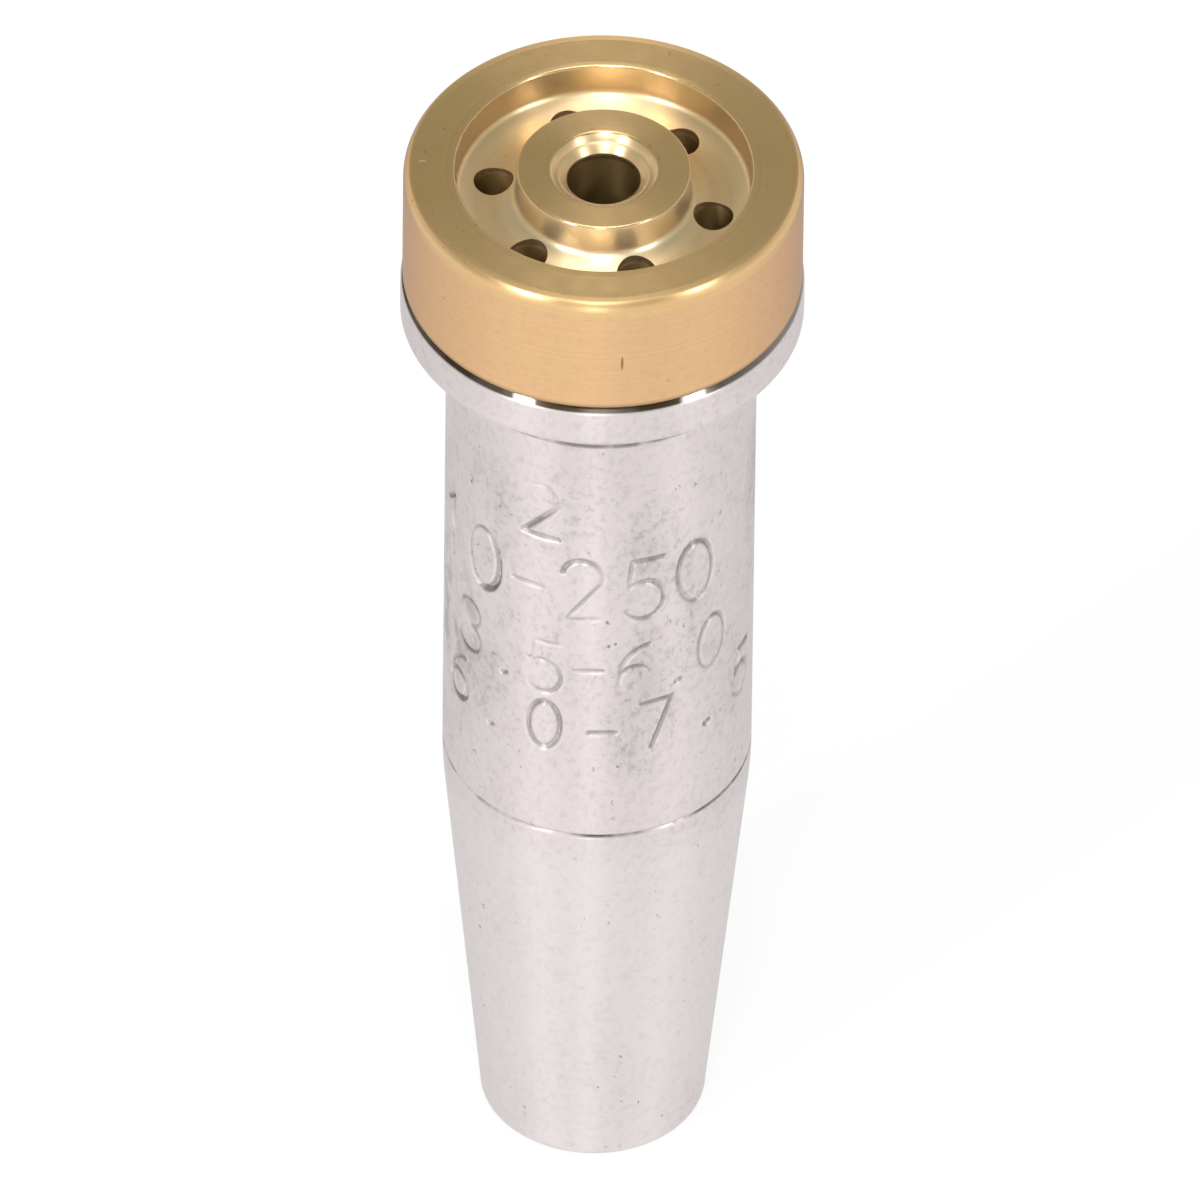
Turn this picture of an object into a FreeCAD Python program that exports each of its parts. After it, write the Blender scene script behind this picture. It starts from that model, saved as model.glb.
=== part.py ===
import FreeCAD, Part
import math
import os

import Sketcher
from FreeCAD import Placement, Rotation, Vector

# Oxy fuel cutting tip with a flat seat, in two pieces: a plated copper shell and a turned brass core
# that is pressed into it from the head end. The tip's axis is Z. The origin is the centre of the lower
# end face, where the flames leave, and +Z points towards the head. Sizes are in millimetres, and
# angles in degrees.

SIZES = {
    # The whole tip, and the brass head that stands out of the shell
    "overall_length": 66.0,
    "head_radius": 10.44,
    "head_height": 7.45,
    "head_round": 0.58,
    "head_bevel": 0.2,
    # The shell's outside: flange, cone shoulder, round body and tapered end
    "flange_step": 0.1,
    "flange_height": 2.3,
    "flange_bevel": 0.22,
    "shoulder_height": 2.43,
    "body_radius": 8.12,
    "taper_length": 25.5,
    "taper_angle": 5.2,
    "taper_blend": 30.0,
    "end_bevel": 0.25,
    "tool_line_depth": 0.1,
    "tool_line_half_width": 0.12,
    # Where the core's spigot is pressed into the shell's counterbore
    "shell_wall": 1.42,
    "spigot_length": 5.0,
    "spigot_bevel": 0.3,
    "counterbore_step": 1.25,
    "counterbore_spare": 0.4,
    # The cone that closes the gas chamber above the end bore
    "chamber_cone_height": 1.6,
    # The fluted nose, which seats in the shell's end bore
    "end_bore_length": 12.0,
    "nose_radius": 2.7,
    "nose_length": 14.0,
    "nose_bevel": 0.2,
    "nose_recess": 0.8,
    "flute_half_width": 0.25,
    "flute_depth": 0.6,
    "flute_run_out": 1.0,
    "flute_count": 12,
    # The oxygen passage down the middle of the core, and the stem's wall round it
    "oxygen_bore_radius": 1.94,
    "stem_wall": 1.16,
    "countersink_width": 0.81,
    "countersink_lip_bevel": 0.08,
    "funnel_height": 2.5,
    "throat_radius": 0.55,
    "throat_length": 15.0,
    # The ring groove in the sealing face, and the gas holes drilled from it
    "groove_radius": 6.15,
    "groove_half_width": 1.6,
    "groove_depth": 2.25,
    "groove_facet": 0.43,
    "groove_lip_bevel": 0.09,
    "gas_hole_count": 6,
    "gas_hole_radius": 1.05,
    "gas_hole_clearance": 0.05,
    "gas_hole_phase": 48.0,
}

RIGHT_ANGLE = 90.0
FULL_TURN = 360.0
SAME_PLACE = 1e-5

# Heights that several features share, each a sum of named sizes
SHELL_TOP = "overall_length -head_height"
SHOULDER_TOP = f"{SHELL_TOP} -flange_height"
SHOULDER_FOOT = f"{SHOULDER_TOP} -shoulder_height"
SPIGOT_END = f"{SHELL_TOP} -spigot_length"
COUNTERBORE_FLOOR = f"{SPIGOT_END} -counterbore_spare"
GROOVE_FLOOR = "overall_length -groove_depth"
GAS_HOLE_FLOOR = f"{SPIGOT_END} -gas_hole_radius"

# Radii that follow from the named ones
FLANGE_RADIUS = "head_radius flange_step"
SPIGOT_RADIUS = "body_radius -shell_wall"
CHAMBER_RADIUS = f"{SPIGOT_RADIUS} -counterbore_step"
STEM_RADIUS = "oxygen_bore_radius stem_wall"
COUNTERSINK_RADIUS = "oxygen_bore_radius countersink_width"
GAS_HOLE_FOOT = f"{STEM_RADIUS} gas_hole_clearance gas_hole_radius"

document = FreeCAD.newDocument("cutting_tip")
sheet = document.addObject("Spreadsheet::Sheet", "Sizes")
for row, (alias, value) in enumerate(SIZES.items(), start=1):
    sheet.set(f"A{row}", alias.replace("_", " "))
    sheet.set(f"B{row}", str(value))
    sheet.setAlias(f"B{row}", alias)
document.recompute()


def total(names):
    """Adds up named sizes. A name with a minus sign before it is taken away."""
    return sum(-SIZES[name[1:]] if name.startswith("-") else SIZES[name] for name in names.split())


def formula(names):
    """The same sum, as an expression on the sheet's cells."""
    terms = [f"- Sizes.{name[1:]}" if name.startswith("-") else f"+ Sizes.{name}" for name in names.split()]
    return " ".join(terms).removeprefix("+ ")


def opposite(names):
    """The sum with every sign turned round."""
    return " ".join(name[1:] if name.startswith("-") else f"-{name}" for name in names.split())


def origin_feature(body, role):
    """The plane or axis of a body's own origin that has this role."""
    return next(feature for feature in body.Origin.OriginFeatures if feature.Role == role)


def sketch_on(body, role, name):
    """Adds an empty sketch on one of the body's origin planes."""
    sketch = body.newObject("Sketcher::SketchObject", name)
    sketch.AttachmentSupport = [(origin_feature(body, role), "")]
    sketch.MapMode = "FlatFace"
    return sketch


def tie(sketch, kind, *points, names):
    """Adds a dimension to a sketch and binds it to a sum of named sizes."""
    index = sketch.addConstraint(Sketcher.Constraint(kind, *points, total(names)))
    sketch.setExpression(f"Constraints[{index}]", formula(names))


def lean(sketch, line, name):
    """Leans a line that was drawn upwards away from the axis by a named angle."""
    upright = math.radians(RIGHT_ANGLE - SIZES[name])
    index = sketch.addConstraint(Sketcher.Constraint("Angle", line, upright))
    sketch.setExpression(f"Constraints[{index}]", f"{RIGHT_ANGLE} - Sizes.{name}")


def place_start(sketch, line, across, along):
    """Ties where a line starts, in the sketch's two directions. No name puts it on that axis."""
    for kind, names, axis in (("DistanceX", across, -2), ("DistanceY", along, -1)):
        if names:
            tie(sketch, kind, -1, 1, line, 1, names=names)
        else:
            sketch.addConstraint(Sketcher.Constraint("PointOnObject", line, 1, axis))


def join(sketch, kind, *lines):
    """Joins the end of each line to the start of the next, as Coincident or Tangent."""
    for line, following in zip(lines, lines[1:]):
        sketch.addConstraint(Sketcher.Constraint(kind, line, 2, following, 1))


def draw_lines(sketch, points):
    """Draws straight lines from each point to the next."""
    for start, end in zip(points, points[1:]):
        sketch.addGeometry(Part.LineSegment(start, end), False)


def draw_outline(sketch, corners):
    """Draws a closed outline with straight sides, from corners whose places are sums of names."""
    points = [Vector(total(across), total(along), 0) for across, along in corners]
    draw_lines(sketch, points + points[:1])
    join(sketch, "Coincident", *range(len(corners)), 0)
    for line, (across, along) in enumerate(corners):
        place_start(sketch, line, across, along)


def turn(body, kind, sketch, name, axis="V_Axis"):
    """Revolves a sketch by a full turn, as a Revolution that adds or a Groove that cuts."""
    feature = body.newObject(f"PartDesign::{kind}", name)
    feature.Profile = sketch
    feature.ReferenceAxis = (sketch, [axis])
    feature.Angle = FULL_TURN
    document.recompute()
    return feature


def rims(feature, height):
    """The feature's circular edges round the tip's axis at one height, by radius."""
    found = {}
    for number, edge in enumerate(feature.Shape.Edges, start=1):
        curve = edge.Curve
        if not isinstance(curve, Part.Circle) or abs(curve.Center.z - height) > SAME_PLACE:
            continue
        if math.hypot(curve.Center.x, curve.Center.y) < SAME_PLACE:
            found[curve.Radius] = f"Edge{number}"
    return found


def ease_rim(body, kind, name, size_name, height, wanted_radius):
    """Rounds (Fillet) or bevels (Chamfer) the rim at one height whose radius is nearest to the one wanted."""
    base = body.Tip
    at_height = rims(base, total(height))
    nearest = min(at_height, key=lambda radius: abs(radius - total(wanted_radius)))
    feature = body.newObject(f"PartDesign::{kind}", name)
    feature.Base = (base, [at_height[nearest]])
    feature.setExpression("Radius" if kind == "Fillet" else "Size", formula(size_name))
    document.recompute()
    return feature


def repeat_round_axis(body, feature, name, count_name):
    """Repeats a feature evenly round the tip's axis."""
    pattern = body.newObject("PartDesign::PolarPattern", name)
    pattern.Originals = [feature]
    pattern.Axis = (origin_feature(body, "Z_Axis"), [""])
    pattern.Angle = FULL_TURN
    pattern.setExpression("Occurrences", formula(count_name))
    body.Tip = pattern
    document.recompute()
    return pattern


def draw_shell_outside(sketch):
    """Half of the shell's outside. A long arc blends the straight taper into the round body."""
    angle = math.radians(SIZES["taper_angle"])
    blend = SIZES["taper_blend"]
    centre = Vector(SIZES["body_radius"] - blend, SIZES["taper_length"], 0)
    arc_foot = centre + Vector(blend * math.cos(angle), -blend * math.sin(angle), 0)
    end_rim = Vector(arc_foot.x - arc_foot.y * math.tan(angle), 0, 0)
    upper_corners = [
        ("body_radius", "taper_length"),
        ("body_radius", SHOULDER_FOOT),
        (FLANGE_RADIUS, SHOULDER_TOP),
        (FLANGE_RADIUS, SHELL_TOP),
        ("", SHELL_TOP),
    ]
    end_face, taper, arc, body_side, shoulder, flange_side, top_face, centre_line = range(8)
    draw_lines(sketch, [Vector(0, 0, 0), end_rim, arc_foot])
    sketch.addGeometry(Part.ArcOfCircle(Part.Circle(centre, Vector(0, 0, 1), blend), -angle, 0.0), False)
    upper_points = [Vector(total(across), total(along), 0) for across, along in upper_corners]
    draw_lines(sketch, upper_points + [Vector(0, 0, 0)])
    join(sketch, "Coincident", end_face, taper)
    join(sketch, "Tangent", taper, arc, body_side)
    join(sketch, "Coincident", body_side, shoulder, flange_side, top_face, centre_line, end_face)
    place_start(sketch, end_face, "", "")
    sketch.addConstraint(Sketcher.Constraint("Horizontal", end_face))
    lean(sketch, taper, "taper_angle")
    tie(sketch, "Radius", arc, names="taper_blend")
    for line, (across, along) in enumerate(upper_corners, start=body_side):
        place_start(sketch, line, across, along)


def scribe_line(body, name, height):
    """Cuts the fine V that the turning tool leaves where it stops, at a named height on the body."""
    sketch = sketch_on(body, "XZ_Plane", f"{name}_profile")
    draw_outline(
        sketch,
        [
            ("body_radius -tool_line_depth", height),
            ("body_radius tool_line_depth", f"{height} -tool_line_half_width -tool_line_half_width"),
            ("body_radius tool_line_depth", f"{height} tool_line_half_width tool_line_half_width"),
        ],
    )
    return turn(body, "Groove", sketch, name)


def build_outer_shell():
    """The plated copper shell: turned outside, then bored from the head end and the flame end."""
    body = document.addObject("PartDesign::Body", "outer_shell")
    outside = sketch_on(body, "XZ_Plane", "shell_outside")
    draw_shell_outside(outside)
    turn(body, "Revolution", outside, "shell_blank")

    inside = sketch_on(body, "XZ_Plane", "shell_inside")
    draw_outline(
        inside,
        [
            ("", ""),
            ("nose_radius", ""),
            ("nose_radius", "end_bore_length"),
            (CHAMBER_RADIUS, "end_bore_length chamber_cone_height"),
            (CHAMBER_RADIUS, COUNTERBORE_FLOOR),
            (SPIGOT_RADIUS, COUNTERBORE_FLOOR),
            (SPIGOT_RADIUS, SHELL_TOP),
            ("", SHELL_TOP),
        ],
    )
    turn(body, "Groove", inside, "shell_bores")

    scribe_line(body, "shoulder_foot_line", SHOULDER_FOOT)
    scribe_line(body, "taper_start_line", "taper_length")
    ease_rim(body, "Chamfer", "flange_top_bevel", "flange_bevel", SHELL_TOP, FLANGE_RADIUS)
    ease_rim(body, "Chamfer", "flange_lower_bevel", "flange_bevel", SHOULDER_TOP, FLANGE_RADIUS)
    ease_rim(body, "Chamfer", "end_rim_bevel", "end_bevel", "", FLANGE_RADIUS)
    return body


def cut_ring_groove(body):
    """Cuts the groove in the sealing face. Flats make its bottom, and both of its lips are bevelled."""
    sketch = sketch_on(body, "XZ_Plane", "ring_groove_profile")
    half = [
        ("groove_facet", GROOVE_FLOOR),
        ("groove_half_width -groove_facet", f"{GROOVE_FLOOR} groove_facet"),
        ("groove_half_width", f"{GROOVE_FLOOR} groove_half_width -groove_facet"),
        ("groove_half_width", "overall_length -groove_lip_bevel"),
        ("groove_half_width groove_lip_bevel", "overall_length"),
    ]
    outer = [(f"groove_radius {across}", along) for across, along in half]
    inner = [(f"groove_radius {opposite(across)}", along) for across, along in reversed(half)]
    draw_outline(sketch, outer + inner)
    return turn(body, "Groove", sketch, "ring_groove")


def draw_gas_hole(sketch):
    """Half of one drilled hole, from the sealing face down its leaning centre line to below the spigot."""
    mouth = Vector(total("groove_radius"), total("overall_length"), 0)
    floor = Vector(total(GAS_HOLE_FOOT), total(GAS_HOLE_FLOOR), 0)
    down = (floor - mouth).normalize()
    side = Vector(-down.y, down.x, 0) * SIZES["gas_hole_radius"]
    centre_line, mouth_side, wall, floor_side, axis_side = range(5)
    sketch.addGeometry(Part.LineSegment(floor, mouth), True)
    draw_lines(sketch, [mouth, mouth + side, floor + side, floor, mouth])
    join(sketch, "Coincident", centre_line, mouth_side, wall, floor_side, axis_side, mouth_side)
    sketch.addConstraint(Sketcher.Constraint("Coincident", centre_line, 1, axis_side, 1))
    sketch.addConstraint(Sketcher.Constraint("Perpendicular", centre_line, mouth_side))
    sketch.addConstraint(Sketcher.Constraint("Perpendicular", centre_line, floor_side))
    sketch.addConstraint(Sketcher.Constraint("Parallel", centre_line, wall))
    place_start(sketch, mouth_side, "groove_radius", "overall_length")
    place_start(sketch, centre_line, GAS_HOLE_FOOT, GAS_HOLE_FLOOR)
    tie(sketch, "Distance", mouth_side, names="gas_hole_radius")


def drill_gas_holes(body):
    """Drills the ring of gas holes, which lean in towards the stem as they go down."""
    sketch = sketch_on(body, "XZ_Plane", "gas_hole_profile")
    draw_gas_hole(sketch)
    sketch.AttachmentOffset = Placement(Vector(), Rotation(Vector(0, 1, 0), SIZES["gas_hole_phase"]))
    sketch.setExpression(".AttachmentOffset.Rotation.Angle", formula("gas_hole_phase"))
    document.recompute()
    hole = turn(body, "Groove", sketch, "gas_hole", axis="Axis0")
    repeat_round_axis(body, hole, "gas_holes", "gas_hole_count")


def mill_flutes(body):
    """Mills the fine flutes that carry the preheat gas along the nose and out at the flame end."""
    sketch = sketch_on(body, "XY_Plane", "flute_section")
    sketch.setExpression(".AttachmentOffset.Base.z", formula("nose_recess"))
    draw_outline(
        sketch,
        [
            ("nose_radius -flute_depth", "-flute_half_width"),
            (f"{STEM_RADIUS} flute_depth", "-flute_half_width"),
            (f"{STEM_RADIUS} flute_depth", "flute_half_width"),
            ("nose_radius -flute_depth", "flute_half_width"),
        ],
    )
    flute = body.newObject("PartDesign::Pocket", "flute")
    flute.Profile = sketch
    flute.Reversed = True
    flute.setExpression("Length", formula("nose_length flute_run_out"))
    document.recompute()
    repeat_round_axis(body, flute, "flutes", "flute_count")


def build_inner_core():
    """The turned brass core: head, spigot, stem and fluted nose, with the oxygen passage through it."""
    body = document.addObject("PartDesign::Body", "inner_core")
    outside = sketch_on(body, "XZ_Plane", "core_outside")
    draw_outline(
        outside,
        [
            ("", "nose_recess"),
            ("nose_radius", "nose_recess"),
            ("nose_radius", "nose_recess nose_length"),
            (STEM_RADIUS, "nose_recess nose_length nose_bevel"),
            (STEM_RADIUS, SPIGOT_END),
            (SPIGOT_RADIUS, SPIGOT_END),
            (SPIGOT_RADIUS, SHELL_TOP),
            ("head_radius", SHELL_TOP),
            ("head_radius", "overall_length"),
            ("", "overall_length"),
        ],
    )
    turn(body, "Revolution", outside, "core_blank")

    passage = sketch_on(body, "XZ_Plane", "oxygen_passage_profile")
    draw_outline(
        passage,
        [
            ("", "nose_recess"),
            ("throat_radius", "nose_recess"),
            ("throat_radius", "nose_recess throat_length"),
            ("oxygen_bore_radius", "nose_recess throat_length funnel_height"),
            ("oxygen_bore_radius", "overall_length -countersink_width"),
            (COUNTERSINK_RADIUS, "overall_length"),
            ("", "overall_length"),
        ],
    )
    turn(body, "Groove", passage, "oxygen_passage")
    top_rim = ("overall_length", COUNTERSINK_RADIUS)
    ease_rim(body, "Chamfer", "countersink_lip", "countersink_lip_bevel", *top_rim)
    cut_ring_groove(body)
    ease_rim(body, "Fillet", "head_top_round", "head_round", "overall_length", "head_radius")
    ease_rim(body, "Chamfer", "head_lower_bevel", "head_bevel", SHELL_TOP, "head_radius")
    ease_rim(body, "Chamfer", "spigot_end_bevel", "spigot_bevel", SPIGOT_END, SPIGOT_RADIUS)
    drill_gas_holes(body)
    mill_flutes(body)
    return body


def check_document(pieces):
    """Stops the script when an object has failed, a cut took nothing away or a piece isn't one solid."""
    for item in document.Objects:
        if "Invalid" in item.State or "Error" in item.State:
            raise RuntimeError(f"{item.Label} failed: {item.State}")
        if item.TypeId in ("PartDesign::Groove", "PartDesign::Pocket", "PartDesign::PolarPattern"):
            if item.Shape.Volume >= item.BaseFeature.Shape.Volume:
                raise RuntimeError(f"{item.Label} cuts nothing")
    for piece in pieces:
        if piece.Shape.isNull() or not piece.Shape.isValid() or len(piece.Shape.Solids) != 1:
            raise RuntimeError(f"{piece.Label} is not one valid solid")


pieces = [build_outer_shell(), build_inner_core()]
document.recompute()
check_document(pieces)

os.makedirs("parts", exist_ok=True)
for piece in pieces:
    piece.Shape.exportStep(f"parts/{piece.Label}.step")
    box = piece.Shape.BoundBox
    print(f"{piece.Label}: volume {piece.Shape.Volume:.1f} mm3, from {box.ZMin:.2f} to {box.ZMax:.2f} mm")
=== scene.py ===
import bpy
import numpy as np
from mathutils import Matrix, Vector


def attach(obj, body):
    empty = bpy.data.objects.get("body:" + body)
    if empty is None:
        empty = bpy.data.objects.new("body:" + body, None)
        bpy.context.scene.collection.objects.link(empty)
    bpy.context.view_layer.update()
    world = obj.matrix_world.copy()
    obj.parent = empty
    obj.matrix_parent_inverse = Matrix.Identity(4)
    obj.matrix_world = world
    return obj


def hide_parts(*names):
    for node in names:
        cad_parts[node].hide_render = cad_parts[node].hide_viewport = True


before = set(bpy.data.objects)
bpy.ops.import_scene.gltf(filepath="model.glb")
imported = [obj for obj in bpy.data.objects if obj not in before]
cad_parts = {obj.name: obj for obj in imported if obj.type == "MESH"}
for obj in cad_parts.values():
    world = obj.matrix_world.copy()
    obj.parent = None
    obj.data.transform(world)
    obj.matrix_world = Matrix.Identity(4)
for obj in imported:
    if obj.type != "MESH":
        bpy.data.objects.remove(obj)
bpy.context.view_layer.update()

# Outer shell.
# The outer shell is a copper bar, turned outside and bored through, then nickel and chrome plated. It
# carries hand-punched numerals on one side, and two fine lines where the turning tool stopped. The
# flange and the 45 degree shoulder under it take the torch's retaining nut.
MM = 0.001
BODY_RADIUS = 8.12
END_RADIUS = 5.923
TAPER_TOP = 25.5
TAPER_ANGLE = np.radians(5.2)
TAPER_BLEND = 30.0
SHOULDER_FOOT = 53.82
SHOULDER_TOP = 56.25
FLANGE_RADIUS = 10.54
SHELL_TOP = 58.55
SPIGOT_RADIUS = 6.7
NOSE_RADIUS = 2.7
CHAMBER_RADIUS = 5.45
SPIGOT_SEAT = 53.15
CHAMBER_FLOOR = 13.6
NOSE_SEAT = 12.0
NUMERALS_FOOT, NUMERALS_TOP = 30.6, 50.9
NUMERALS_LEFT, NUMERALS_RIGHT = -86.0, 82.0


def arc(centre, radius, start, end, steps):
    """Points on a circle arc: centre plus radius times the cosine and sine of angles spaced evenly
    from start to end, in degrees. A pair of radii makes it an ellipse."""
    angle = np.radians(np.linspace(start, end, steps))
    return np.asarray(centre) + np.asarray(radius) * np.stack([np.cos(angle), np.sin(angle)], axis=1)


def run(start, end, steps):
    """Points spaced evenly on a straight line, without its end."""
    share = np.linspace(0.0, 1.0, steps, endpoint=False)[:, None]
    return np.asarray(start) * (1.0 - share) + np.asarray(end) * share


def turned_grid(profile, angles):
    """A surface of revolution. The point at angle a and profile point (r, z) is (r sin a, -r cos a, z),
    so angle 0 faces the camera. Returns an array of angles by profile points by three."""
    r, z = profile[..., 0], profile[..., 1]
    across = r * np.sin(angles)[:, None]
    away = -r * np.cos(angles)[:, None]
    return np.stack([across, away, np.broadcast_to(z, across.shape)], axis=-1)


def closed_mesh(name, points):
    """A mesh of four-sided faces on a grid that closes on itself both ways, like a ring. Its UV map
    runs round the axis in U and along the profile in V."""
    columns, rows = points.shape[:2]
    grid = np.meshgrid(np.arange(columns), np.arange(rows), indexing="ij")
    column, row = (side.ravel() for side in grid)
    right, up = (column + 1) % columns, (row + 1) % rows
    corners = [column * rows + row, right * rows + row, right * rows + up, column * rows + up]
    corners = np.stack(corners, axis=1)
    mesh = bpy.data.meshes.new(name)
    mesh.vertices.add(columns * rows)
    mesh.vertices.foreach_set("co", (points * MM).astype(np.float32).ravel())
    mesh.loops.add(corners.size)
    mesh.loops.foreach_set("vertex_index", corners.astype(np.int32).ravel())
    mesh.polygons.add(len(corners))
    mesh.polygons.foreach_set("loop_start", (4 * np.arange(len(corners))).astype(np.int32))
    mesh.update(calc_edges=True)
    uv = mesh.uv_layers.new(name="Turning")
    u = np.stack([column, column + 1, column + 1, column], axis=1) / columns
    v = np.stack([row, row, row + 1, row + 1], axis=1) / rows
    uv.data.foreach_set("uv", np.stack([u, v], axis=-1).astype(np.float32).ravel())
    mesh.validate()
    return mesh


def piece(name, mesh, node, sharp_angle):
    """Puts a mesh into the scene as the piece that stands for a CAD node."""
    mesh.polygons.foreach_set("use_smooth", np.ones(len(mesh.polygons), dtype=bool))
    mesh.set_sharp_from_angle(angle=np.radians(sharp_angle))
    made = bpy.data.objects.new(name, mesh)
    bpy.context.scene.collection.objects.link(made)
    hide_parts(node)
    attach(made, "root")
    return made


def tool_line(radius, height, share=1.0):
    """The profile of a fine V that the turning tool leaves where it stops. Its depth is a share of the
    full depth."""
    offsets = np.array([-0.24, -0.13, -0.06, 0.0, 0.06, 0.13, 0.24])
    depths = share * np.array([0.0, 0.012, 0.07, 0.1, 0.07, 0.012, 0.0])
    return np.stack([radius - depths, height + offsets], axis=1)


blend_centre = np.array([BODY_RADIUS - TAPER_BLEND, TAPER_TOP])
blend_foot = blend_centre + TAPER_BLEND * np.array([np.cos(TAPER_ANGLE), -np.sin(TAPER_ANGLE)])
numeral_rows = np.linspace(NUMERALS_FOOT, NUMERALS_TOP, 190)
shell_profile = np.concatenate(
    [
        arc((NOSE_RADIUS + 0.12, 0.12), 0.12, 180, 270, 4),
        run((NOSE_RADIUS + 0.4, 0.0), (END_RADIUS - 0.35, 0.0), 4),
        arc((END_RADIUS - 0.30, 0.32), 0.32, -90, -5.2, 9),
        run((END_RADIUS + 0.05, 0.7), blend_foot, 12),
        arc(blend_centre, TAPER_BLEND, -5.2, -0.6, 8),
        tool_line(BODY_RADIUS, TAPER_TOP),
        run((BODY_RADIUS, TAPER_TOP + 0.6), (BODY_RADIUS, numeral_rows[0]), 4),
        np.stack([np.full_like(numeral_rows, BODY_RADIUS), numeral_rows], axis=1),
        run((BODY_RADIUS, NUMERALS_TOP + 0.4), (BODY_RADIUS, SHOULDER_FOOT - 0.25), 4),
        tool_line(BODY_RADIUS, SHOULDER_FOOT, 0.5)[:5],
        run((BODY_RADIUS + 0.12, SHOULDER_FOOT + 0.14), (FLANGE_RADIUS - 0.14, SHOULDER_TOP - 0.13), 4),
        arc((FLANGE_RADIUS - 0.25, SHOULDER_TOP + 0.06), 0.25, -45, 0, 5),
        run((FLANGE_RADIUS, SHOULDER_TOP + 0.3), (FLANGE_RADIUS, SHELL_TOP - 0.45), 3),
        arc((FLANGE_RADIUS - 0.22, SHELL_TOP - 0.386), 0.22, 0, 45, 7),
        run((FLANGE_RADIUS - 0.1, SHELL_TOP - 0.195), (FLANGE_RADIUS - 0.28, SHELL_TOP - 0.015), 3),
        run((FLANGE_RADIUS - 0.31, SHELL_TOP), (SPIGOT_RADIUS, SHELL_TOP), 3),
        run((SPIGOT_RADIUS, SHELL_TOP), (SPIGOT_RADIUS, SPIGOT_SEAT), 2),
        run((SPIGOT_RADIUS, SPIGOT_SEAT), (CHAMBER_RADIUS, SPIGOT_SEAT), 2),
        run((CHAMBER_RADIUS, SPIGOT_SEAT), (CHAMBER_RADIUS, CHAMBER_FLOOR), 3),
        run((CHAMBER_RADIUS, CHAMBER_FLOOR), (NOSE_RADIUS, NOSE_SEAT), 2),
        run((NOSE_RADIUS, NOSE_SEAT), (NOSE_RADIUS, 0.3), 3),
    ]
)
fine_angles = np.linspace(NUMERALS_LEFT, NUMERALS_RIGHT, 262)
coarse_angles = np.linspace(NUMERALS_RIGHT, NUMERALS_LEFT + 360.0, 66)[1:-1]
shell_angles = np.radians(np.concatenate([fine_angles, coarse_angles]))


# The strokes of each numeral, in a cell one unit high and 0.6 wide, as the punches cut them
STROKES = {
    "0": [arc((0.3, 0.5), (0.27, 0.5), 90, 450, 25)],
    "1": [np.array([(0.1, 0.78), (0.32, 1.0), (0.32, 0.0)])],
    "2": [np.concatenate([arc((0.3, 0.73), (0.26, 0.27), 170, -35, 13), [(0.03, 0.0), (0.58, 0.0)]])],
    "3": [
        np.concatenate(
            [arc((0.29, 0.76), (0.24, 0.24), 155, -80, 13), arc((0.28, 0.27), (0.28, 0.27), 80, -155, 14)]
        )
    ],
    "5": [
        np.concatenate(
            [[(0.53, 1.0), (0.12, 1.0), (0.07, 0.55)], arc((0.28, 0.32), (0.28, 0.32), 120, -145, 15)]
        )
    ],
    "6": [
        np.concatenate(
            [arc((0.62, 0.42), (0.58, 0.58), 105, 180, 9), arc((0.3, 0.29), (0.26, 0.29), 180, 540, 21)]
        )
    ],
    "7": [np.array([(0.03, 1.0), (0.58, 1.0), (0.2, 0.0)])],
    "-": [np.array([(0.08, 0.46), (0.5, 0.46)])],
    ".": [np.array([(0.27, 0.03), (0.33, 0.05)])],
}
# Each row: numerals, height of the cell, width of one step, angle of the first cell in degrees, height of
# the row's foot, and how deep the punches went
ROWS = [
    ("2", 3.7, 3.0, -30.0, 46.5, 0.13),
    ("10-250", 4.2, 3.1, -79.0, 41.2, 0.15),
    ("3.5-6.0", 3.6, 2.45, -63.0, 35.7, 0.1),
    ("6.0-7.5", 3.3, 3.1, -71.0, 31.4, 0.17),
]


def punched_depth(arc_length, height, seed):
    """How deep the punched numerals are at each point of the body, in mm. Near a stroke it falls with
    the distance from the stroke as a half wave, less the gap between the flat punch and the round body."""
    luck = np.random.default_rng(seed)
    depth = np.zeros_like(arc_length)
    for text, tall, step, first, foot, strike in ROWS:
        start = np.radians(first) * BODY_RADIUS
        for index, sign in enumerate(text):
            turn, shift, rise = luck.normal(0, 0.05), luck.normal(0, 0.08), luck.normal(0, 0.12)
            lean_across, lean_up = luck.normal(0, 0.03), luck.normal(0, 0.025)
            middle = start + index * step + 0.3 * tall + shift
            hit = strike * luck.uniform(0.75, 1.1) * (1.0 + 0.5 * np.sin(middle / BODY_RADIUS) ** 2)
            x, y = arc_length - middle, height - foot - 0.5 * tall - rise
            across, up = x * np.cos(turn) + y * np.sin(turn), y * np.cos(turn) - x * np.sin(turn)
            near = (np.abs(across) < 0.45 * tall + 0.5) & (np.abs(up) < 0.5 * tall + 0.6)
            px, py = across[near], up[near]
            gap = np.full(px.shape, 9.0)
            for stroke in STROKES[sign]:
                line = (stroke - (0.3, 0.5)) * tall
                for a, b in zip(line[:-1], line[1:]):
                    dx, dy = b - a
                    along = ((px - a[0]) * dx + (py - a[1]) * dy) / max(dx**2 + dy**2, 1e-9)
                    along = np.clip(along, 0, 1)
                    gap = np.minimum(gap, np.hypot(px - a[0] - along * dx, py - a[1] - along * dy))
            reach = np.maximum(hit - px**2 / (2.2 * BODY_RADIUS) + lean_across * px + lean_up * py, 0.0)
            width = 0.17 + 0.5 * reach
            groove = reach * (0.5 + 0.5 * np.cos(np.pi * np.clip(gap / width, 0.0, 1.0)))
            lip = 0.07 * reach * np.exp(-(((gap - 1.25 * width) / 0.1) ** 2))
            depth[near] = np.where(np.abs(depth[near]) > np.abs(groove - lip), depth[near], groove - lip)
    return depth


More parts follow.
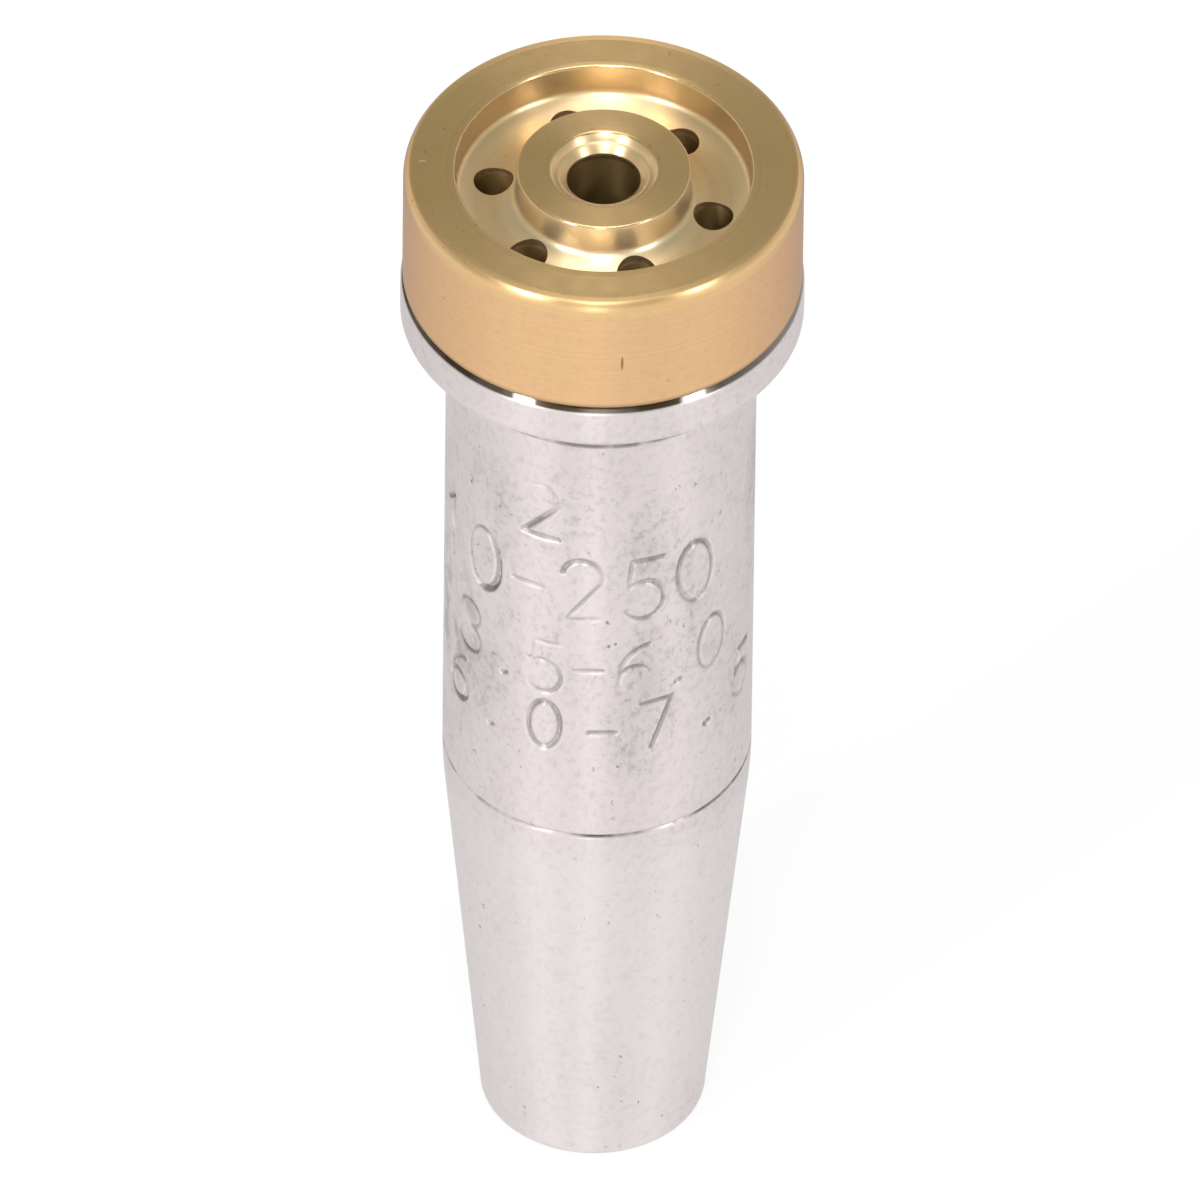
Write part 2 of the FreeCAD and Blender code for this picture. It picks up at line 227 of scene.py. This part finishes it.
body_span = (shell_profile[:, 1] >= numeral_rows[0]) & (shell_profile[:, 1] <= numeral_rows[-1])
body_span &= np.isclose(shell_profile[:, 0], BODY_RADIUS)
front_span = shell_angles <= np.radians(NUMERALS_RIGHT)
front_arcs = shell_angles[front_span] * BODY_RADIUS
arc_lengths, heights = np.meshgrid(front_arcs, shell_profile[body_span, 1], indexing="ij")
punched = np.zeros((len(shell_angles), len(shell_profile)))
punched[np.ix_(front_span, body_span)] = punched_depth(arc_lengths, heights, 4)
shell_radii = np.broadcast_to(shell_profile[:, 0], punched.shape) - punched
shell_heights = np.broadcast_to(shell_profile[:, 1], punched.shape)
shell_grid = turned_grid(np.stack([shell_radii, shell_heights], axis=-1), shell_angles)
shell_mesh = closed_mesh("shell", shell_grid)
mark = shell_mesh.attributes.new("punched", "FLOAT", "POINT")
mark.data.foreach_set("value", punched.astype(np.float32).ravel())
shell = piece("plated_shell", shell_mesh, "outer_shell", 34)


class Wiring:
    """Adds nodes to a material and joins them, so that each line reads as one step of the finish."""

    def __init__(self, name):
        self.material = bpy.data.materials.new(name)
        self.material.use_nodes = True
        self.tree = self.material.node_tree
        self.shader = self.tree.nodes["Principled BSDF"]
        self.place = self.node("ShaderNodeTexCoord").outputs["Object"]

    def node(self, kind, settings=None, **inputs):
        made = self.tree.nodes.new(kind)
        for key, value in (settings or {}).items():
            setattr(made, key, value)
        for key, value in inputs.items():
            self.feed(made, key, value)
        return made

    def feed(self, node, key, value):
        numbered = key[0] == "i" and key[1:].isdigit()
        socket = node.inputs[int(key[1:]) if numbered else key.replace("_", " ")]
        if isinstance(value, bpy.types.NodeSocket):
            self.tree.links.new(value, socket)
        else:
            socket.default_value = value

    def math(self, operation, first, second=0.0, third=0.0):
        made = self.node("ShaderNodeMath", {"operation": operation}, i0=first, i1=second, i2=third)
        return made.outputs[0]

    def times(self, first, *others):
        for other in others:
            first = self.math("MULTIPLY", first, other)
        return first

    def noise(self, scale, detail=4.0, stretch=(1.0, 1.0, 1.0), rough=0.5):
        spread = self.node("ShaderNodeMapping", Vector=self.place, Scale=stretch).outputs[0]
        made = self.node("ShaderNodeTexNoise", Vector=spread, Scale=scale, Detail=detail, Roughness=rough)
        return made.outputs[0]

    def rings(self, value, scale, detail=3.0):
        line = {"noise_dimensions": "1D"}
        made = self.node("ShaderNodeTexNoise", line, W=value, Scale=scale, Detail=detail)
        return made.outputs[0]

    def step(self, value, low, high, start=0.0, end=1.0):
        """Smoothly from the start to the end as the value goes from low to high."""
        made = self.node("ShaderNodeMapRange", {"interpolation_type": "SMOOTHSTEP"}, Value=value)
        for key, limit in (("From Min", low), ("From Max", high), ("To Min", start), ("To Max", end)):
            self.feed(made, key, limit)
        return made.outputs[0]

    def within(self, value, rise, fall):
        """One between two edges. Each edge is a pair, where its change starts and where it ends."""
        return self.times(self.step(value, *rise), self.step(value, *fall))

    def mix(self, share, first, second):
        made = self.node("ShaderNodeMix", {"data_type": "RGBA"}, i0=share)
        self.feed(made, "i6", first)
        self.feed(made, "i7", second)
        return made.outputs[2]

    def coat(self, base, layers):
        """Lays colours over a base one after another, each by its own share."""
        for share, colour in layers:
            base = self.mix(share, base, (*colour, 1))
        return base

    def spot(self, centre, spread):
        """One at a point, falling to nothing at the given distances from it along each axis."""
        off = self.node("ShaderNodeVectorMath", {"operation": "SUBTRACT"}, i0=self.place, i1=centre)
        off = self.node("ShaderNodeVectorMath", {"operation": "DIVIDE"}, i0=off.outputs[0], i1=spread)
        far = self.node("ShaderNodeVectorMath", {"operation": "LENGTH"}, i0=off.outputs[0])
        return self.step(far.outputs["Value"], 1.0, 0.5)

    def bump(self, height, distance, strength):
        return self.node("ShaderNodeBump", Height=height, Distance=distance, Strength=strength).outputs[0]

    def metal(self, tint, anisotropic):
        """Metal whose highlights stretch across the turning marks, with a tint at grazing angles."""
        self.shader.inputs["Metallic"].default_value = 1.0
        self.shader.inputs["Specular Tint"].default_value = (*tint, 1)
        self.shader.inputs["Anisotropic"].default_value = anisotropic
        self.shader.inputs["Anisotropic Rotation"].default_value = 0.25

    def round_tangent(self):
        made = self.node("ShaderNodeTangent", {"direction_type": "UV_MAP", "uv_map": "Turning"})
        self.feed(self.shader, "Tangent", made.outputs[0])


def plated_finish():
    """Bright plating over fine turning marks, with cloudy grey stains, dark pits and greyer patches near
    the left edge, and grime that stays in the punched numerals and in the two tool lines. Painted light
    makes the taper lighter;
    painted shade darkens the gap under the head, but for two places where lamp highlights fall."""
    w = Wiring("plated_copper")
    axes = w.node("ShaderNodeSeparateXYZ", Vector=w.place)
    z = axes.outputs["Z"]
    fine = w.noise(1500.0, 3.0, (1, 1, 1), 0.6)
    taper = w.step(z, 0.0252, 0.0225)

    # Stains: clouds mostly where hands and punches touch it, pits in patches, grain under the clouds
    handled = w.within(z, (0.022, 0.034), (0.053, 0.046))
    cloud = w.step(w.noise(170.0, 5.0, (-1, -1, 0.55), 0.62), 0.45, 0.72)
    cloud = w.times(cloud, w.math("MULTIPLY_ADD", handled, 0.75, 0.25))
    pits = w.step(w.noise(2300.0, 2.0, (1, 1, 0.8), 0.5), 0.68, 0.76)
    pits = w.times(pits, w.step(w.noise(240.0, 3.0), 0.46, 0.62))
    grain = w.step(w.noise(2600.0, 4.0, (1, 1, 0.8), 0.65), 0.46, 0.68)
    stained = w.math("MULTIPLY_ADD", cloud, 0.75, 0.25)
    grain = w.times(grain, stained, w.math("MULTIPLY_ADD", taper, -0.3, 0.65))
    # Greenish grey patches near the left edge of the body.
    left_side = w.spot((-0.0079, -0.0028, 0.037), (0.0034, 0.0048, 0.0062))
    left_edge_patches = w.times(left_side, w.step(w.noise(900.0, 4.0, (1, 1, 0.7), 0.65), 0.4, 0.64))

    # Dirt: in the numerals and broken along the tool lines. Painted shade: the gap under the head, dark on
    # the shell's rounded top edge, weaker to the right and left out at two places where lamp highlights
    # fall
    mark = w.node("ShaderNodeAttribute", {"attribute_name": "punched"}).outputs["Fac"]
    grime = w.times(w.step(mark, 0.004, 0.08), w.step(w.noise(500.0, 3.0), 0.25, 0.6, 0.35, 1.0))
    broken = w.noise(420.0, 3.0, (1, 1, 0.2))
    from_lower = w.math("ABSOLUTE", w.math("SUBTRACT", z, TAPER_TOP * MM))
    from_upper = w.math("ABSOLUTE", w.math("SUBTRACT", z, SHOULDER_FOOT * MM))
    lower_line = w.times(w.step(from_lower, 0.00018, 0.00004), w.step(broken, 0.38, 0.62))
    upper_line = w.times(w.step(from_upper, 0.00032, 0.00014, 0.0, 0.7), w.step(broken, 0.25, 0.5))
    lines = w.math("MAXIMUM", lower_line, upper_line)
    left_unshaded = w.spot((-0.0040, -0.0097, SHELL_TOP * MM), (0.0007, 0.002, 0.002))
    right_unshaded = w.spot((0.0048, -0.0093, SHELL_TOP * MM), (0.0008, 0.002, 0.002))
    joint_shade = w.times(
        w.step(z, (SHELL_TOP - 0.27) * MM, (SHELL_TOP - 0.19) * MM),
        w.math("SUBTRACT", 1.0, w.math("MAXIMUM", left_unshaded, right_unshaded)),
        w.step(axes.outputs["X"], 0.0055, 0.0095, 1.0, 0.6),
        w.step(w.noise(350.0, 3.0), 0.3, 0.5, 0.9, 1.0),
    )

    drift = w.step(w.noise(75.0, 3.0, (1, 1, 0.4)), 0.35, 0.7)
    plating = w.mix(drift, (0.775, 0.705, 0.707, 1), (0.745, 0.675, 0.68, 1))
    layers = [
        # Painted light: the taper's plating is painted lighter and whiter, standing in for its brighter
        # reflection.
        (taper, (0.80, 0.74, 0.735)),
        (w.times(cloud, 0.22), (0.40, 0.38, 0.375)),
        (grain, (0.36, 0.33, 0.325)),
        (w.times(left_edge_patches, 0.5), (0.33, 0.34, 0.31)),
        (w.times(w.step(fine, 0.52, 0.75), 0.2), (0.50, 0.46, 0.45)),
        (w.times(pits, 0.75), (0.20, 0.18, 0.165)),
        (w.times(grime, 0.5), (0.27, 0.25, 0.235)),
        (w.times(lines, 0.85), (0.10, 0.085, 0.075)),
        # Painted shade: the gap under the head is painted near black.
        (joint_shade, (0.085, 0.065, 0.04)),
    ]
    w.feed(w.shader, "Base Color", w.coat(plating, layers))
    w.metal((0.75, 0.75, 0.78), 0.85)
    rough = w.math("ADD", w.math("MULTIPLY_ADD", cloud, 0.12, 0.34), w.times(fine, 0.08))
    rough = w.math("ADD", rough, w.times(w.math("MAXIMUM", grime, lines), 0.2))
    w.feed(w.shader, "Roughness", rough)
    height = w.math("MULTIPLY_ADD", w.rings(z, 9000.0, 2.0), 0.35, w.times(pits, -1.0))
    height = w.math("ADD", height, w.times(fine, 0.6))
    w.feed(w.shader, "Normal", w.bump(height, 0.000006, 0.6))
    w.round_tangent()
    return w.material


shell.data.materials.append(plated_finish())

# Inner core.
# The inner core is turned from free-cutting brass in one piece: a flat-faced head with a ring groove, a
# spigot pressed into the shell, a thin stem and a fluted nose. Six gas holes are drilled down from the
# groove, and the oxygen passage runs through the middle.
TIP_TOP = 66.0
HEAD_RADIUS = 10.44
GROOVE_RADIUS = 6.15
GROOVE_HALF_WIDTH = 1.6
GROOVE_FLOOR = 63.8
HUB_MOUTH = 2.83
BORE_RADIUS = 1.94
THROAT_RADIUS = 0.55
STEM_RADIUS = 3.1
NOSE_END = 0.8
FLUTE_DEPTH = 0.6
FLUTE_HALF_WIDTH = 0.25
FLUTE_COUNT = 12
FLUTE_TOP = 15.8
NOSE_TOP = 14.8
STEM_FOOT = 15.0
SPIGOT_FOOT = 53.55
SPIGOT_BEVEL = 0.3
THROAT_TOP = 15.8
BORE_FLOOR = 18.3
# The groove's dished floor and its round corners
GROOVE_CURVE = 3.2
GROOVE_CORNER = 0.4
corner_reach = GROOVE_CURVE - GROOVE_CORNER
corner_across = GROOVE_HALF_WIDTH - GROOVE_CORNER
corner_lean = np.arcsin(corner_across / corner_reach)
corner_height = GROOVE_FLOOR + GROOVE_CURVE - corner_reach * np.cos(corner_lean)
corner_angle = 90.0 - np.degrees(corner_lean)
outer_wall = GROOVE_RADIUS + GROOVE_HALF_WIDTH
inner_wall = GROOVE_RADIUS - GROOVE_HALF_WIDTH
groove_dish = arc(
    (GROOVE_RADIUS, GROOVE_FLOOR + GROOVE_CURVE), GROOVE_CURVE, -corner_angle, corner_angle - 180, 18
)
core_profile = np.concatenate(
    [
        run((THROAT_RADIUS, NOSE_END), (NOSE_RADIUS, NOSE_END), 4),
        run((NOSE_RADIUS, NOSE_END), (NOSE_RADIUS, NOSE_TOP), 8),
        run((NOSE_RADIUS, NOSE_TOP), (STEM_RADIUS, STEM_FOOT), 2),
        run((STEM_RADIUS, STEM_FOOT), (STEM_RADIUS, FLUTE_TOP), 2),
        run((STEM_RADIUS, FLUTE_TOP + 0.01), (STEM_RADIUS, SPIGOT_FOOT), 8),
        run((STEM_RADIUS, SPIGOT_FOOT), (SPIGOT_RADIUS - SPIGOT_BEVEL, SPIGOT_FOOT), 6),
        run((SPIGOT_RADIUS - SPIGOT_BEVEL, SPIGOT_FOOT), (SPIGOT_RADIUS, SPIGOT_FOOT + SPIGOT_BEVEL), 2),
        run((SPIGOT_RADIUS, SPIGOT_FOOT + SPIGOT_BEVEL), (SPIGOT_RADIUS, SHELL_TOP), 3),
        run((SPIGOT_RADIUS, SHELL_TOP), (HEAD_RADIUS - 0.2, SHELL_TOP), 4),
        run((HEAD_RADIUS - 0.19, SHELL_TOP + 0.01), (HEAD_RADIUS - 0.05, SHELL_TOP + 0.15), 3),
        arc((HEAD_RADIUS - 0.15, SHELL_TOP + 0.25), 0.15, -40, 0, 4),
        run((HEAD_RADIUS, SHELL_TOP + 0.35), (HEAD_RADIUS, TIP_TOP - 0.72), 6),
        arc((HEAD_RADIUS - 0.85, TIP_TOP - 0.674), 0.85, 0, 48, 10),
        arc((HEAD_RADIUS - 0.368, TIP_TOP - 0.1), 0.1, 50, 90, 5),
        run((HEAD_RADIUS - 0.42, TIP_TOP), (outer_wall + 0.16, TIP_TOP), 6),
        arc((outer_wall + 0.12, TIP_TOP - 0.12), 0.12, 90, 180, 6),
        run((outer_wall, TIP_TOP - 0.18), (outer_wall, corner_height + 0.1), 5),
        arc((GROOVE_RADIUS + corner_across, corner_height), GROOVE_CORNER, 0, -corner_angle, 9),
        groove_dish[1:-1],
        arc((GROOVE_RADIUS - corner_across, corner_height), GROOVE_CORNER, corner_angle - 180, -180, 9),
        run((inner_wall, corner_height + 0.1), (inner_wall, TIP_TOP - 0.18), 5),
        arc((inner_wall - 0.12, TIP_TOP - 0.12), 0.12, 0, 90, 6),
        run((inner_wall - 0.17, TIP_TOP), (HUB_MOUTH + 0.16, TIP_TOP), 4),
        arc((HUB_MOUTH + 0.04, TIP_TOP - 0.14), 0.14, 90, 130, 5),
        run((HUB_MOUTH - 0.12, TIP_TOP - 0.08), (HUB_MOUTH - 0.38, TIP_TOP - 0.3), 3),
        run((HUB_MOUTH - 0.39, TIP_TOP - 0.36), (HUB_MOUTH - 0.45, TIP_TOP - 0.37), 2),
        run((HUB_MOUTH - 0.46, TIP_TOP - 0.37), (BORE_RADIUS + 0.05, TIP_TOP - 0.69), 4),
        run((BORE_RADIUS, TIP_TOP - 0.75), (BORE_RADIUS, BORE_FLOOR), 12),
        run((BORE_RADIUS, BORE_FLOOR), (THROAT_RADIUS, THROAT_TOP), 4),
        run((THROAT_RADIUS, THROAT_TOP), (THROAT_RADIUS, NOSE_END), 6),
    ]
)
flute_step = 360.0 / FLUTE_COUNT
flute_half_angle = np.degrees(np.arcsin(FLUTE_HALF_WIDTH / NOSE_RADIUS))
flute_bottom = np.linspace(-flute_half_angle + 0.06, flute_half_angle - 0.06, 7)
flute_land = np.linspace(flute_half_angle + 0.06, flute_step - flute_half_angle - 0.06, 15)
sector = np.concatenate([flute_bottom, flute_land])
core_angles = np.radians((sector[None] + flute_step * np.arange(FLUTE_COUNT)[:, None]).ravel())
in_flute = np.tile(np.arange(len(sector)) < len(flute_bottom), FLUTE_COUNT)
core_radii = np.broadcast_to(core_profile[:, 0], (len(core_angles), len(core_profile))).copy()
fluted_rows = (core_profile[:, 1] <= FLUTE_TOP) & (core_profile[:, 0] > THROAT_RADIUS + 0.2)
fluted = np.ix_(in_flute, fluted_rows)
core_radii[fluted] = np.minimum(core_radii[fluted], NOSE_RADIUS - FLUTE_DEPTH)
core_heights = np.broadcast_to(core_profile[:, 1], core_radii.shape)
core_mesh = closed_mesh("core", turned_grid(np.stack([core_radii, core_heights], axis=-1), core_angles))

GAS_HOLE_RADIUS = 1.05
GAS_HOLE_FLOOR = 52.5
GAS_HOLE_FOOT = 4.2
GAS_HOLE_ANGLES = 48.0 + 60.0 * np.arange(6)


def drill(azimuths, sides):
    """Closed cylinders for the six drills. Each ring's point is the centre line's end plus the radius
    times the cosine and sine of an angle, along two directions square to the line."""
    points, faces = [], []
    around = np.linspace(0.0, 2.0 * np.pi, sides, endpoint=False)
    for count, azimuth in enumerate(np.radians(azimuths)):
        outward = np.array([np.cos(azimuth), np.sin(azimuth), 0.0])
        top = GROOVE_RADIUS * outward + (0.0, 0.0, TIP_TOP)
        floor = GAS_HOLE_FOOT * outward + (0.0, 0.0, GAS_HOLE_FLOOR)
        line = (top - floor) / np.linalg.norm(top - floor)
        top = top + line
        side = np.cross((0.0, 0.0, 1.0), outward)
        across = np.cross(side, line)
        ring = GAS_HOLE_RADIUS * (np.cos(around)[:, None] * side + np.sin(around)[:, None] * across)
        points += [floor + ring, top + ring]
        low = 2 * sides * count
        index = np.arange(sides)
        after = (index + 1) % sides
        walls = [low + after, low + index, low + sides + index, low + sides + after]
        faces += np.stack(walls, axis=1).tolist()
        faces += [(low + index).tolist(), (low + sides + index)[::-1].tolist()]
    mesh = bpy.data.meshes.new("drills")
    mesh.from_pydata((np.concatenate(points) * MM).tolist(), [], faces)
    return mesh


drills = bpy.data.objects.new("drills", drill(GAS_HOLE_ANGLES, 56))
bpy.context.scene.collection.objects.link(drills)
core = piece("brass_core", core_mesh, "inner_core", 34)
drilling = core.modifiers.new("gas_holes", "BOOLEAN")
drilling.object = drills
drilling.operation = "DIFFERENCE"
drilling.solver = "EXACT"
drilled = bpy.data.meshes.new_from_object(core.evaluated_get(bpy.context.evaluated_depsgraph_get()))
core.modifiers.clear()
core.data = drilled
bpy.data.objects.remove(drills)
drilled.polygons.foreach_set("use_smooth", np.ones(len(drilled.polygons), dtype=bool))
drilled.set_sharp_from_angle(angle=np.radians(34))


def brass_finish():
    """Turned brass: fine concentric marks on the face and fine rings round the side. Painted light makes
    the groove, its walls and the countersink paler and the hub's wall near white; painted shade darkens
    the gas holes, the bore, the head's lower edge above the shell and its rounded top edge."""
    w = Wiring("turned_brass")
    z = w.node("ShaderNodeSeparateXYZ", Vector=w.place).outputs["Z"]
    flat = w.node("ShaderNodeVectorMath", {"operation": "MULTIPLY"}, i0=w.place, i1=(1, 1, 0)).outputs[0]
    r = w.node("ShaderNodeVectorMath", {"operation": "LENGTH"}, i0=flat).outputs["Value"]

    # Zones, by the height and by the distance from the axis, in metres
    side = w.times(w.step(r, 0.0100, 0.0103), w.step(z, 0.0652, 0.0649))
    rim = w.times(w.step(r, 0.0100, 0.01008), w.step(z, 0.0649, 0.0652))
    edge = w.times(w.within(r, (0.00972, 0.0099), (0.01018, 0.0101)), w.step(z, 0.0656, 0.0658))
    below_face = w.step(z, 0.06596, 0.0659)
    groove = w.times(w.within(r, (0.0044, 0.0046), (0.0079, 0.0077)), below_face)
    mouth = w.times(w.step(r, 0.0029, 0.0028), below_face, w.step(z, 0.0650, 0.0652))
    from_middle = w.math("ABSOLUTE", w.math("SUBTRACT", r, GROOVE_RADIUS * MM))
    walls = w.times(w.within(from_middle, (0.00125, 0.0015), (0.0019, 0.0017)), below_face)
    hub_wall = w.times(walls, w.step(r, 0.0062, 0.0058))
    outer_floor = w.times(w.step(r, 0.0066, 0.0072, 0.0, 0.4), w.step(r, 0.0081, 0.0079))
    pale = w.times(w.math("MAXIMUM", w.step(r, 0.0058, 0.0052), outer_floor), below_face)
    groove_floor = w.times(w.step(z, 0.0645, 0.0641), w.step(r, 0.0080, 0.0078, 0.0, 0.2))
    holes = w.times(w.step(z, 0.0637, 0.0633), w.step(r, 0.0088, 0.0084))
    passage = w.times(w.step(z, 0.0652, 0.0646), w.step(r, 0.0022, 0.0020))
    inside = w.math("MAXIMUM", holes, passage)
    joint_shade = w.step(z, (SHELL_TOP + 0.48) * MM, (SHELL_TOP + 0.1) * MM)

    marks = w.math("ADD", w.rings(r, 5200.0), w.rings(z, 5200.0))
    specks = w.times(w.step(w.noise(2600.0, 2.0), 0.7, 0.76), w.step(w.noise(300.0, 2.0), 0.45, 0.6))
    mottled = w.times(w.step(w.noise(1900.0, 4.0, (1, 1, 1), 0.65), 0.45, 0.7), w.step(z, 0.0656, 0.0652))
    nick = w.spot((0.00108, -0.01038, 0.06188), (0.00009, 0.002, 0.0006))
    scratch = w.spot((-0.00945, 0.0004, 0.066), (0.00028, 0.00008, 0.0004))
    drift = w.step(w.noise(110.0, 4.0), 0.35, 0.7)
    brass = w.mix(drift, (0.81, 0.54, 0.275, 1), (0.77, 0.505, 0.245, 1))
    layers = [
        (side, (0.80, 0.51, 0.28)),
        (w.step(marks, 0.85, 1.25, 0.0, 0.25), (0.62, 0.42, 0.19)),
        (w.times(specks, 0.6), (0.30, 0.19, 0.08)),
        # Painted shade: the head's lowest edge, just above the shell, is painted darker.
        (w.times(joint_shade, 0.7), (0.16, 0.12, 0.07)),
        (w.times(mottled, 0.3), (0.66, 0.42, 0.22)),
        # Painted light: the groove's walls are painted lighter, more golden brass.
        (walls, (0.87, 0.67, 0.38)),
        # Painted highlight: the hub's wall in the groove is painted near white.
        (hub_wall, (1.0, 0.99, 0.84)),
        # Painted light: paler brass in the countersink, round the hub and on the groove's outer floor.
        (w.times(pale, 0.5), (0.90, 0.72, 0.47)),
        # Painted light: the groove's floor is painted paler still.
        (groove_floor, (0.97, 0.84, 0.66)),
        # Painted shade: the head's rounded top edge is painted darker to dim its highlight.
        (w.times(edge, 0.5), (0.45, 0.30, 0.13)),
        # Painted shade: the gas holes and the bore are painted dark.
        (inside, (0.35, 0.235, 0.10)),
        (w.times(nick, 0.75), (0.22, 0.12, 0.05)),
        (w.times(scratch, 0.8), (0.98, 0.9, 0.7)),
    ]
    w.feed(w.shader, "Base Color", w.coat(brass, layers))
    w.metal((0.36, 0.42, 0.62), 0.7)
    rough = w.math("MULTIPLY_ADD", w.noise(900.0, 3.0), 0.08, 0.185)
    rougher = [(side, 0.22), (rim, 0.12), (edge, 0.18), (groove, 0.12), (mouth, 0.16)]
    for zone, more in [*rougher, (walls, 0.05), (inside, 0.25)]:
        rough = w.math("MULTIPLY_ADD", zone, more, rough)
    w.feed(w.shader, "Roughness", rough)
    w.feed(w.shader, "Normal", w.bump(marks, 0.000006, 0.5))
    w.round_tangent()
    return w.material


drilled.materials.clear()
drilled.materials.append(brass_finish())

# Studio.
# A white sweep, one large soft light overhead and a little behind, and four small lamps: left, right,
# and low and high in front. The room above the sweep is grey, and the brass face shows it.
floor_mesh = bpy.data.meshes.new("floor")
floor_mesh.from_pydata([(-9, -9, 0), (9, -9, 0), (9, 9, 0), (-9, 9, 0)], [], [(0, 1, 2, 3)])
floor = bpy.data.objects.new("floor", floor_mesh)
bpy.context.scene.collection.objects.link(floor)
sweep = bpy.data.materials.new("sweep")
sweep.use_nodes = True
nodes, links = sweep.node_tree.nodes, sweep.node_tree.links
nodes.clear()
rays = nodes.new("ShaderNodeLightPath")
glossy = nodes.new("ShaderNodeMath")
glossy.operation = "MULTIPLY"
glossy.inputs[1].default_value = 0.75
links.new(rays.outputs["Is Glossy Ray"], glossy.inputs[0])
part_seen = nodes.new("ShaderNodeMath")
part_seen.operation = "MULTIPLY_ADD"
part_seen.inputs[1].default_value = 0.85
links.new(rays.outputs["Is Camera Ray"], part_seen.inputs[0])
links.new(glossy.outputs[0], part_seen.inputs[2])
paper = nodes.new("ShaderNodeBsdfDiffuse")
paper.inputs["Color"].default_value = (0.93, 0.93, 0.93, 1)
white = nodes.new("ShaderNodeEmission")
white.inputs["Color"].default_value = (1, 1, 1, 1)
blend = nodes.new("ShaderNodeMixShader")
links.new(part_seen.outputs[0], blend.inputs[0])
links.new(paper.outputs[0], blend.inputs[1])
links.new(white.outputs[0], blend.inputs[2])
result = nodes.new("ShaderNodeOutputMaterial")
links.new(blend.outputs[0], result.inputs["Surface"])
floor_mesh.materials.append(sweep)

world = bpy.data.worlds.new("room")
bpy.context.scene.world = world
world.use_nodes = True
nodes, links = world.node_tree.nodes, world.node_tree.links
direction = nodes.new("ShaderNodeTexCoord")
axes = nodes.new("ShaderNodeSeparateXYZ")
links.new(direction.outputs["Generated"], axes.inputs[0])
shade = nodes.new("ShaderNodeValToRGB")
links.new(axes.outputs["Z"], shade.inputs["Fac"])
shade.color_ramp.elements[0].position = 0.12
shade.color_ramp.elements[0].color = (1, 1, 1, 1)
shade.color_ramp.elements[1].position = 0.62
shade.color_ramp.elements[1].color = (0.38, 0.40, 0.34, 1)
links.new(shade.outputs["Color"], nodes["Background"].inputs["Color"])


AIM_HEIGHT = 0.06


def lamp(name, azimuth, elevation, distance, size, brightness):
    """A rectangular soft light aimed near the tip's head, with its width and height in metres. Its power
    is pi times its area times the brightness that a mirror would show."""
    light = bpy.data.lights.new(name, "AREA")
    light.shape = "RECTANGLE"
    light.size, light.size_y = size
    light.energy = np.pi * size[0] * size[1] * brightness
    turn, rise = np.radians(azimuth), np.radians(elevation)
    away = Vector((np.sin(turn) * np.cos(rise), -np.cos(turn) * np.cos(rise), np.sin(rise)))
    made = bpy.data.objects.new(name, light)
    stand = Matrix.Translation(Vector((0, 0, AIM_HEIGHT)) + distance * away)
    made.matrix_world = stand @ away.to_track_quat("Z", "Y").to_matrix().to_4x4()
    bpy.context.scene.collection.objects.link(made)


lamp("overhead", 0.0, 102.0, 1.2, (0.45, 0.87), 2.8)
lamp("left_lamp", -44.0, 41.0, 1.2, (0.1, 0.22), 75.0)
lamp("right_lamp", 56.0, 38.0, 1.2, (0.1, 0.22), 46.0)
lamp("front_lamp", -4.0, 3.0, 1.2, (0.05, 0.2), 26.0)
lamp("high_lamp", -4.0, 66.0, 1.2, (0.1, 0.2), 58.0)

# The camera stands far off with a long lens, about 44 degrees above the floor, rolled a little. The centre
# of the tip's top face falls at one point of the 1200 pixel frame.
PIXELS_PER_MM = 19.22
CAMERA_DISTANCE = 2.9
FRAME = 1200.0
TOP_CENTRE_PIXEL = (603.8, 168.3)
rise, roll = np.radians(43.75), np.radians(0.7)
level, steep = Vector((1, 0, 0)), Vector((0, np.sin(rise), np.cos(rise)))
right = level * np.cos(roll) + steep * np.sin(roll)
up = steep * np.cos(roll) - level * np.sin(roll)
back = right.cross(up)
top_centre = Vector((0, 0, TIP_TOP * MM))
pixel = MM / PIXELS_PER_MM
across = (TOP_CENTRE_PIXEL[0] - 0.5 * FRAME) * pixel
down = (TOP_CENTRE_PIXEL[1] - 0.5 * FRAME) * pixel
middle = top_centre - right * across + up * down
camera_data = bpy.data.cameras.new("camera")
camera_data.lens = camera_data.sensor_width * CAMERA_DISTANCE / (FRAME * pixel)
camera = bpy.data.objects.new("camera", camera_data)
facing = Matrix((right, up, back)).transposed().to_4x4()
camera.matrix_world = Matrix.Translation(middle + CAMERA_DISTANCE * back) @ facing
bpy.context.scene.collection.objects.link(camera)
bpy.context.scene.camera = camera
bpy.context.scene.view_settings.view_transform = "Standard"
